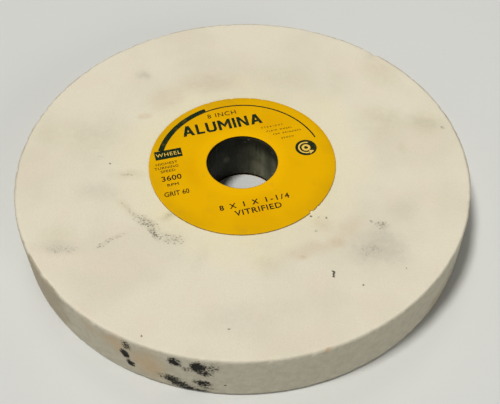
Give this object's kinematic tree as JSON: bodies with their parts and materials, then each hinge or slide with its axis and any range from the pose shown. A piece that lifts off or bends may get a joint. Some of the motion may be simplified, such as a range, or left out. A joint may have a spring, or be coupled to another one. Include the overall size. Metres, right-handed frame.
{
  "type": "vitrified bench grinding wheel",
  "caption": "Straight plain bonded abrasive disc with a lined bore and a paper blotter on each side, clamped between flanges on a bench grinder's spindle.",
  "frame": {"origin": "centre of the back blotter's outer face, on the bore's axis, where the wheel lies on a table", "axes": "+Z along the bore's axis from the back side to the front side; X and Y lie in the plane of the back blotter, and only the print and the wear tell them apart"},
  "size_m": [0.2032, 0.2032, 0.0266],
  "materials": {
    "bonded_abrasive": "matte",
    "bush_plastic": "satin",
    "blotter_paper": "matte",
    "dry_paste": "matte"
  },
  "bodies": {
    "root": {"abrasive_wheel": "bonded_abrasive", "arbor_bush": "bush_plastic", "front_blotter": "blotter_paper", "front_paste_film": "dry_paste", "back_blotter": "blotter_paper", "back_paste_film": "dry_paste"}
  },
  "joints": []
}
